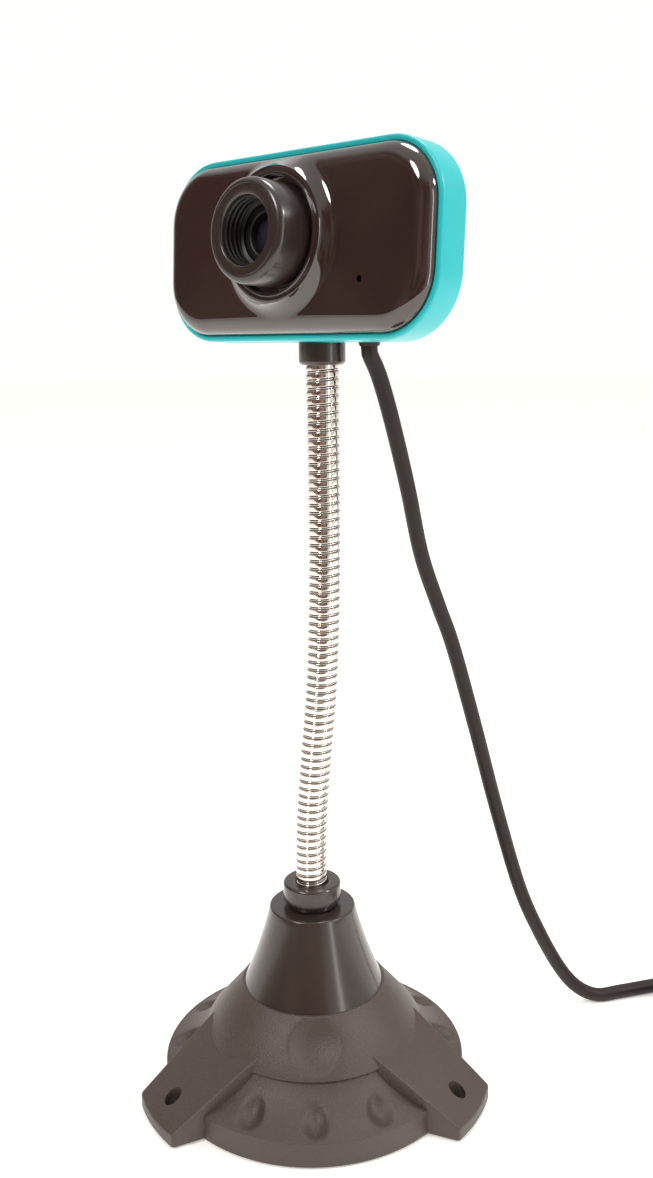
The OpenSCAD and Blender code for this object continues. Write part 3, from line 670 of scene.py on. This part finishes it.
def make_fascia():
    """The glossy front: a lens boss with a grooved lip, and a cushion-like face round it."""
    rays, rings = 320, []
    boss = fillet([(12.27, WEB_BACK), (12.27, WEB_FRONT), (BOSS_IN, WEB_FRONT), (BOSS_IN, BOSS_FRONT),
                   (14.35, BOSS_FRONT), (14.5, BOSS_FRONT - 0.22), (14.75, BOSS_FRONT - 0.22), (14.9, BOSS_FRONT),
                   (BOSS_LIP, BOSS_FRONT - 0.1)], [0, 0.15, 0.2, 0.25, 0.1, 0.05, 0.05, 0.1, 0], 3, closed=False)
    lip_z = boss[-1][1]
    for k in range(rays):
        a = 2 * math.pi * k / rays
        reach = edge_reach(a, LENS_AT[0], LENS_AT[1], FACE_W, FACE_H, FACE_CORNER)
        ring = [(r, z) for r, z in boss]
        skirt = min(4.2, reach - BOSS_LIP - 0.2)
        for i in range(1, 17):
            t = i / 16
            r = BOSS_LIP + skirt * t ** 1.3
            u = min(1, (r - BOSS_LIP) / skirt)
            x, z = LENS_AT[0] + r * math.cos(a), LENS_AT[1] + r * math.sin(a)
            ground = -FRAME_FRONT + face_height(x, z)
            if u > LIP_ROUND:
                share = (1 - u) ** SKIRT_POWER
            else:
                low = (1 - LIP_ROUND) ** SKIRT_POWER
                share = low + (1 - low) * math.sqrt(1 - (u / LIP_ROUND) ** 2)
            ring.append((r, ground + (lip_z - ground) * share))
        start = BOSS_LIP + skirt
        for i in range(1, 41):
            t = i / 40
            r = start + (reach - start) * (1 - (1 - t) ** 2)
            x, z = LENS_AT[0] + r * math.cos(a), LENS_AT[1] + r * math.sin(a)
            ring.append((r, -FRAME_FRONT + face_height(x, z)))
        ring += [(reach - 0.1, 5.2), (reach - 1.8, 5.2), (reach - 1.8, 8.4), (max(reach - 7, 15.8), 10.4),
                 (14.4, WEB_BACK)]
        rings.append([HEAD @ (Vector((LENS_AT[0] + r * math.cos(a), -y, LENS_AT[1] + r * math.sin(a))) * MM)
                      for r, y in ring])
    fascia = piece("fascia_body", *skin(rings, loop=True), sharp=40)
    drill(fascia, HEAD @ (Vector((MIC_AT[0], -8, MIC_AT[1])) * MM), HEAD.to_3x3() @ Vector((0, -1, 0)),
          0.8 * MM, 9 * MM, 24)
    tidy(fascia, 40)
    place(fascia, "piano_black", "head", "front_fascia")


def banded(name, profile, w, h, corner, slot, node):
    """A closed outline of (inset, y) swept round a rounded rectangle."""
    rings = [[HEAD @ (Vector((x, y, z)) * MM)
              for x, z in rounded_outline(w - 2 * inset, h - 2 * inset, corner - inset)] for inset, y in profile]
    return place(piece(name, *skin(rings, loop=True), sharp=40), slot, "head", node)


def make_rear():
    """The rear shell: a deep rounded back, closed behind the frame."""
    w, h, corner = HEAD_W - 2.4, HEAD_H - 2.4, 14.2
    rays, rings = 288, []
    for k in range(rays):
        a = 2 * math.pi * k / rays
        reach = edge_reach(a, 0, 0, w, h, corner)
        ring = [(0.4, FRAME_BACK + 6)]
        for i in range(1, 49):
            r = reach * (i / 48) ** 0.8
            t = r / reach
            depth = (BACK_H - BACK_CROWN) * (1 - t ** 6) ** 1.1 + BACK_CROWN * (1 - t * t)
            ring.append((r, FRAME_BACK + depth))
        ring[0] = (0.4, ring[1][1])
        ring += [(reach, -1.4), (reach - 0.9, -1.4), (reach - 0.9, -5), (reach - 2.6, -5), (reach - 2.6, 2), (0.4, 4)]
        rings.append([HEAD @ (Vector((r * math.cos(a), y, r * math.sin(a))) * MM) for r, y in ring])
    back = piece("rear_shell_body", *skin(rings, loop=True), sharp=40)
    for x, z in SCREWS_AT:
        drill(back, HEAD @ (Vector((x, 3.5, z)) * MM), HEAD.to_3x3() @ Vector((0, 1, 0)), 2.25 * MM, 14 * MM, 40)
    tidy(back, 40)
    place(back, "piano_black", "head", "rear_shell")


def make_head():
    """The head's shells, the collar below it and the cord's grommet."""
    make_fascia()
    frame_profile = fillet([(0, FRAME_FRONT - 0.3), (0, FRAME_BACK), (RIM, FRAME_BACK), (RIM, FRAME_FRONT - 0.3)],
                           [0.9, 0.5, 0.1, 0.35], 5)
    banded("frame_body", frame_profile, HEAD_W, HEAD_H, HEAD_CORNER, "frame_colour", "coloured_frame")
    make_rear()
    profile = fillet([(3.1, 199.9), (5.3, 199.9), (5.9, 200.6), (5.9, 209.6), (3.1, 209.6)],
                     [0.2, 0.3, 0.3, 0.3, 0.2], 4)
    neck_top = Matrix.Translation(Vector((3.4, 3.2, 0)) * MM)
    place(lathe("head_collar_body", profile, neck_top, 96), "cone_plastic", "head", "head_collar")
    profile = fillet([(2.1, 204.4), (2.45, 204.4), (3.1, 206.4), (3.1, 213.2), (3.9, 213.2), (3.9, 214.4),
                      (2.1, 214.4)], 0.2, 3)
    exit_at = Matrix.Translation(Vector((15, 8, 0)) * MM)
    place(lathe("grommet_body", profile, exit_at, 64), "cord_rubber", "head", "cord_grommet")


make_head()


# ---------------------------------------------------------------- lens
def make_lens():
    """The focus ring with its ringed mouth, and the lens barrel and glass inside it."""
    ridges = [(MOUTH_R, 24.4)]
    for z in (23.6, 22.2, 20.8, 19.4):
        ridges += [(MOUTH_R, z), (MOUTH_R - 0.05, z - 0.1), (MOUTH_R - RIDGE, z - 0.35), (MOUTH_R - RIDGE, z - 0.5),
                   (MOUTH_R - 0.05, z - 0.75)]
    shoulder = [(10.6, RING_FRONT), (11.0, RING_FRONT - 0.05), (11.5, RING_FRONT - 0.25), (11.95, RING_FRONT - 0.7),
                (RING_R, RING_FRONT - 1.4)]
    profile = [(6.95, 17.6), (6.95, 18.2)] + ridges[::-1] + \
        [(MOUTH_R + 0.25, RING_FRONT - 0.12), (MOUTH_R + 0.5, RING_FRONT), (10.25, RING_FRONT),
         (10.35, RING_FRONT - 0.1), (10.5, RING_FRONT - 0.1)] + shoulder + \
        [(RING_R, 12.2), (RING_R, 11.3), (13.9, 11.3), (13.9, 10.2), (8.6, 10.2), (8.6, 13), (6.95, 13)]
    ring = place(lathe("focus_ring_body", profile, LENS, 192, sharp=38), "ring_black", "focus", "focus_ring")
    ring.data.materials.append(LOOKS["lens_black"])
    to_lens = LENS.inverted()
    for face in ring.data.polygons:  # the mouth is dull inside
        at = to_lens @ face.center
        if math.hypot(at.x, at.y) < (MOUTH_R + 0.05) * MM and at.z < (RING_FRONT - 0.3) * MM:
            face.material_index = 1

    profile = fillet([(3.6, 6.4), (3.6, 15.4), (5, 15.4), (5, 17.6), (5.3, 17.8), (6.7, 17.8), (6.9, 17.5),
                      (6.9, 13.1), (5.97, 13.1), (5.97, 4.6), (4.4, 4.6), (4.4, 6.4)], 0.08, 3)
    place(lathe("lens_barrel_body", profile, LENS, 128), "lens_black", "lens", "lens_barrel")
    bulge = [(0.01, 17.22)] + [(4.96 * k / 20, 15.42 + 0.2 + 1.6 * (1 - (k / 20) ** 2)) for k in range(1, 21)]
    bulge += [(4.96, 15.43), (0.01, 15.43)]
    place(lathe("front_lens_body", bulge, LENS, 96), "lens_glass", "lens", "front_lens")


make_lens()


# ---------------------------------------------------------------- plug and tie
PLUG_AT = COIL_AT + Vector((TAIL_R, -TAIL_L, TAIL_Z))
PLUG = Matrix.Translation(PLUG_AT * MM) @ Matrix.Rotation(-math.pi / 2, 4, "Z")
RELIEF_L, PLUG_L, PLUG_W, PLUG_T = 9, 22, 16, 7.9
USB_W, USB_T, USB_L = 12, 4.5, 14


def loft(name, sections, place_at, sharp=40, corner=8, side=3):
    """A body over rounded rectangles (x, width, height, corner radius, middle height) along +X."""
    rings = []
    for x, w, h, r, z in sections:
        rings.append([place_at @ (Vector((x, a, b + z)) * MM) for a, b in rounded_outline(w, h, r, corner, side)])
    return piece(name, *skin(rings, caps=True), sharp=sharp)


def make_plug():
    """The USB plug: ribbed strain relief, grooved body and metal shell. Gives all its pieces."""
    body = []
    for k in range(5):  # ribs of the strain relief
        x = k * 1.8
        d = 4.9 + (6.6 - 4.9) * k / 4
        body += [(x, d - 0.7, d - 0.7, (d - 0.72) / 2, 0), (x + 0.15, d, d, d / 2 - 0.01, 0),
                 (x + 1.15, d, d, d / 2 - 0.01, 0), (x + 1.3, d - 0.7, d - 0.7, (d - 0.72) / 2, 0)]
    back, end = RELIEF_L, RELIEF_L + PLUG_L
    body += [(back, 6.0, 6.0, 2.9, 0), (back + 0.1, PLUG_W - 5, PLUG_T - 2.4, 2.4, 0.0),
             (back + 0.9, PLUG_W - 2, PLUG_T - 0.7, 2.4, 0), (back + 2.4, PLUG_W - 0.3, PLUG_T - 0.05, 2.2, 0)]
    for k in range(6):  # grip grooves across the back half
        x = back + 4 + k * 1.5
        body += [(x, PLUG_W, PLUG_T, 2, 0), (x + 0.15, PLUG_W - 0.7, PLUG_T, 2, 0),
                 (x + 0.6, PLUG_W - 0.7, PLUG_T, 2, 0), (x + 0.75, PLUG_W, PLUG_T, 2, 0)]
    body += [(end - 0.8, PLUG_W, PLUG_T, 2, 0), (end - 0.25, PLUG_W - 0.35, PLUG_T - 0.35, 1.9, 0),
             (end, PLUG_W - 1.1, PLUG_T - 1.1, 1.6, 0)]
    plug = place(loft("plug_body", body, PLUG), "plug_plastic", "root", "usb_plug_body")

    start = end - 6
    rings = []
    for inset, x in ((0, start), (0, end + USB_L - 0.3), (0.15, end + USB_L), (0.35, end + USB_L), (0.35, start + 2)):
        rings.append([PLUG @ (Vector((x, a, b)) * MM) for a, b in
                      rounded_outline(USB_W - 2 * inset, USB_T - 2 * inset, 0.6 - inset * 0.8, 4, 2)])
    shell = piece("plug_shell", *skin(rings, caps=True), sharp=30)
    for y in (-2.6, 2.6):  # the two square windows on each broad side
        window = bpy.data.meshes.new("window")
        box = bmesh.new()
        bmesh.ops.create_cube(box, size=1, matrix=PLUG @ Matrix.Translation(Vector((end + 6.2, y, 0)) * MM)
                              @ Matrix.Diagonal(Vector((2.4, 2.2, 8, 0)) * MM + Vector((0, 0, 0, 1))))
        box.to_mesh(window)
        box.free()
        tool = bpy.data.objects.new("window", window)
        bpy.context.scene.collection.objects.link(tool)
        cut(shell, tool)
    tidy(shell, 30)
    place(shell, "plug_metal", "root", "usb_plug_shell")
    return [plug, shell, frame["nodes"]["usb_plug_tongue"]]


def make_tie():
    """A flat wire tie round the coil."""
    turn = FOOT_TURN - math.radians(120)
    at = Matrix.Translation(COIL_AT * MM) @ Matrix.Rotation(turn, 4, "Z")
    inner, outer = COIL_R[2] - 2.75, COIL_R[0] + 2.75
    loop = fillet([(inner, 0.02), (outer, 0.02), (outer, 8.85), (inner, 8.85)], 1.6, 6)
    hole = fillet([(inner + 0.5, 0.35), (outer - 0.5, 0.35), (outer - 0.5, 8.35), (inner + 0.5, 8.35)], 1.3, 6)
    rings = [[at @ (Vector((x, y, z)) * MM) for x, z in line] for line, y in
             ((loop, -1.8), (loop, 1.8), (hole, 1.8), (hole, -1.8))]
    tie = piece("cord_tie_band", *skin(rings, loop=True), sharp=40)
    place(tie, "tie", "root", "cord_tie")
    return tie


plug_pieces = make_plug() + [make_tie()]

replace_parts(cord[-1][0], "usb_cord", "cord_coil", "cord_tail")


# ---------------------------------------------------------------- stage and lights
ROOM_MIDDLE = math.radians(-12)  # the dim room's middle, round from the lens direction
ROOM_EDGE = (0.14, 0.3)  # cosines from that middle where it fades in
ROOM_TOP = (0.72, 0.5)  # heights between which it fades in, downwards
ROOM_DARK, ROOM_LIGHT = (0.13, 0.07, 0.062), (0.46, 0.34, 0.28)
PALE = (1, 0.98, 0.95)
SEEN_STRENGTH, LIT_STRENGTH = 1.05, 0.8  # of the surroundings, for the camera and for the object


def area_light(name, at, aim, size, power, color=(1, 1, 1), shape="RECTANGLE", tall=None):
    light = bpy.data.lights.new(name, "AREA")
    light.shape, light.size, light.size_y = shape, size, tall or size
    light.energy, light.color = power, color
    obj = bpy.data.objects.new(name, light)
    obj.visible_camera = False
    bpy.context.scene.collection.objects.link(obj)
    obj.location = at
    obj.rotation_mode = "QUATERNION"
    obj.rotation_quaternion = (Vector(at) - Vector(aim)).to_track_quat("Z", "Y")
    return obj


def in_view(right, away, up):
    """A place given as the camera sees it."""
    return Matrix.Rotation(VIEW_TURN, 3, "Z") @ Vector((right, away, up))


def studio_world():
    """Pale all round, with a dim brown room low down on the camera's side, which gloss and metal pick up.

    The camera itself sees only the pale surroundings.
    """
    world = bpy.data.worlds.new("studio")
    bpy.context.scene.world = world
    world.use_nodes = True
    nodes, links = world.node_tree.nodes, world.node_tree.links

    def node(kind, **values):
        made = nodes.new(kind)
        for name, value in values.items():
            setattr(made, name, value)
        return made

    def soft_step(value, low, high):
        step = node("ShaderNodeMapRange", interpolation_type="SMOOTHSTEP")
        step.inputs["From Min"].default_value, step.inputs["From Max"].default_value = low, high
        links.new(value, step.inputs["Value"])
        return step.outputs["Result"]

    def times(a, b):
        product = node("ShaderNodeMath", operation="MULTIPLY")
        links.new(a, product.inputs[0])
        links.new(b, product.inputs[1])
        return product.outputs["Value"]

    where = node("ShaderNodeTexCoord").outputs["Generated"]
    facing = node("ShaderNodeVectorMath", operation="DOT_PRODUCT")
    links.new(where, facing.inputs[0])
    facing.inputs[1].default_value = (math.sin(ROOM_MIDDLE), -math.cos(ROOM_MIDDLE), 0)
    height = node("ShaderNodeSeparateXYZ")
    links.new(where, height.inputs["Vector"])
    clouds = node("ShaderNodeTexNoise")
    clouds.inputs["Scale"].default_value = 3.2
    links.new(where, clouds.inputs["Vector"])
    ramp = node("ShaderNodeValToRGB")
    for stop, (at, color) in zip(ramp.color_ramp.elements, ((0.42, ROOM_DARK), (0.66, ROOM_LIGHT))):
        stop.position, stop.color = at, (*color, 1)
    links.new(clouds.outputs["Fac"], ramp.inputs["Fac"])
    room = times(soft_step(facing.outputs["Value"], *ROOM_EDGE), soft_step(height.outputs["Z"], *ROOM_TOP))
    seen = node("ShaderNodeMath", operation="SUBTRACT")
    seen.inputs[0].default_value = 1
    links.new(node("ShaderNodeLightPath").outputs["Is Camera Ray"], seen.inputs[1])
    mix = node("ShaderNodeMix", data_type="RGBA")
    mix.inputs[6].default_value = (*PALE, 1)
    links.new(times(room, seen.outputs["Value"]), mix.inputs[0])
    links.new(ramp.outputs["Color"], mix.inputs[7])
    links.new(mix.outputs[2], nodes["Background"].inputs["Color"])
    strength = node("ShaderNodeMapRange")
    strength.inputs["To Min"].default_value, strength.inputs["To Max"].default_value = SEEN_STRENGTH, LIT_STRENGTH
    links.new(seen.outputs["Value"], strength.inputs["Value"])
    links.new(strength.outputs["Result"], nodes["Background"].inputs["Strength"])


def make_stage():
    """A white desk, the surroundings and four soft lights."""
    desk = ((-6, -0.43), (6, -0.43), (6, 6), (-6, 6))  # it ends behind the camera, where the dim room begins
    floor = piece("floor", [in_view(x, y, -0.00004) for x, y in desk], [(0, 1, 2, 3)])
    paper = material("floor", (0.93, 0.915, 0.89), 0.6, mottle=0.01, scale=3)
    paper.node_tree.nodes["Principled BSDF"].inputs["Emission Color"].default_value = (*PALE, 1)
    paper.node_tree.nodes["Principled BSDF"].inputs["Emission Strength"].default_value = 0.36
    floor.data.materials.append(paper)
    studio_world()
    aim = (0, 0, 0.12)
    area_light("key", in_view(-0.7, -0.7, 1.0), aim, 0.4, 8, (1, 0.97, 0.93), "DISK")
    area_light("side", in_view(1.0, -0.35, 0.9), aim, 0.16, 5, (1, 0.98, 0.96), "DISK")
    area_light("top", in_view(0.1, 0.3, 1.3), aim, 0.5, 7, (1, 0.98, 0.95), "DISK")
    area_light("window", in_view(0.75, -0.75, 0.1), in_view(0, 0, 0.1), 0.12, 2.5, (1, 0.97, 0.93), tall=1.2)
    bpy.context.scene.view_settings.view_transform = "Standard"


make_stage()
